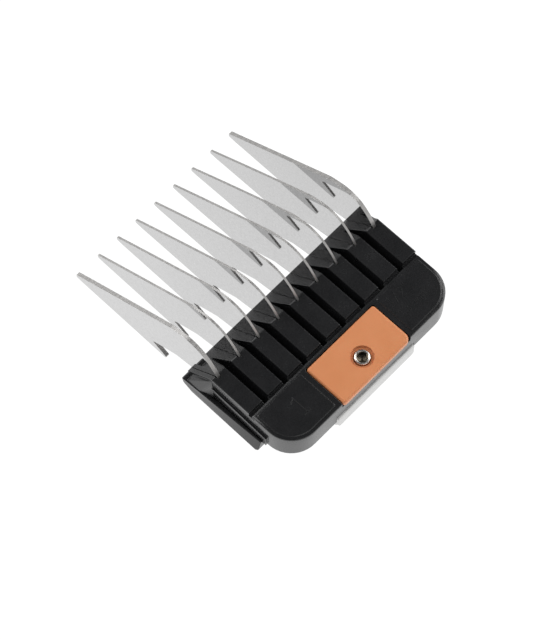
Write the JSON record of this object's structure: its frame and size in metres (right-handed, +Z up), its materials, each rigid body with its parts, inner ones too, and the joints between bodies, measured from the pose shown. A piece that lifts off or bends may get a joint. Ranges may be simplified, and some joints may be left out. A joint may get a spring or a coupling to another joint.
{
  "type": "clipper guard comb",
  "caption": "Clip-on guard comb for a hair clipper: thin steel teeth set in a moulded black housing, an orange cap held by a hex-socket screw and a sprung latch that hooks behind the blade.",
  "frame": {"origin": "under the middle of the comb, level with the lowest points of the teeth", "axes": "+Y the way the teeth point, +X across the comb from tooth_1 to tooth_9, +Z up, away from the blade bay"},
  "size_m": [0.0486, 0.0582, 0.0197],
  "materials": {
    "housing_plastic": "satin black moulded plastic with a fine spark-eroded grain",
    "tooth_steel": "polished stamped stainless sheet, nearly mirror bright on the faces, duller on the cut edges",
    "rod_steel": "drawn wire",
    "cap_plastic": "satin orange moulded plastic",
    "screw_steel": "bright nickel plate",
    "latch_steel": "satin sheet steel with a faint rolling grain",
    "cover_steel": "satin sheet steel",
    "spring_steel": "bare spring wire",
    "bushing_brass": "turned brass"
  },
  "bodies": {
    "comb": {"housing": "housing_plastic", "tooth_1": "tooth_steel", "tooth_2": "tooth_steel", "tooth_3": "tooth_steel", "tooth_4": "tooth_steel", "tooth_5": "tooth_steel", "tooth_6": "tooth_steel", "tooth_7": "tooth_steel", "tooth_8": "tooth_steel", "tooth_9": "tooth_steel", "tooth_rod_front": "rod_steel", "tooth_rod_rear": "rod_steel", "colour_cap": "cap_plastic", "cap_screw": "screw_steel", "latch_bushing": "bushing_brass", "latch_cover": "cover_steel", "latch_spring_left": "spring_steel", "latch_spring_right": "spring_steel"},
    "slider": {"latch": "latch_steel"}
  },
  "joints": [
    {"name": "latch_slide", "type": "slide", "parent": "comb", "child": "slider", "axis": [0, -1, 0], "range_m": [0, 0.0025], "stiffness_N_per_m": 700, "springref_m": -0.002, "deforming": ["latch_spring_left", "latch_spring_right"]}
  ]
}
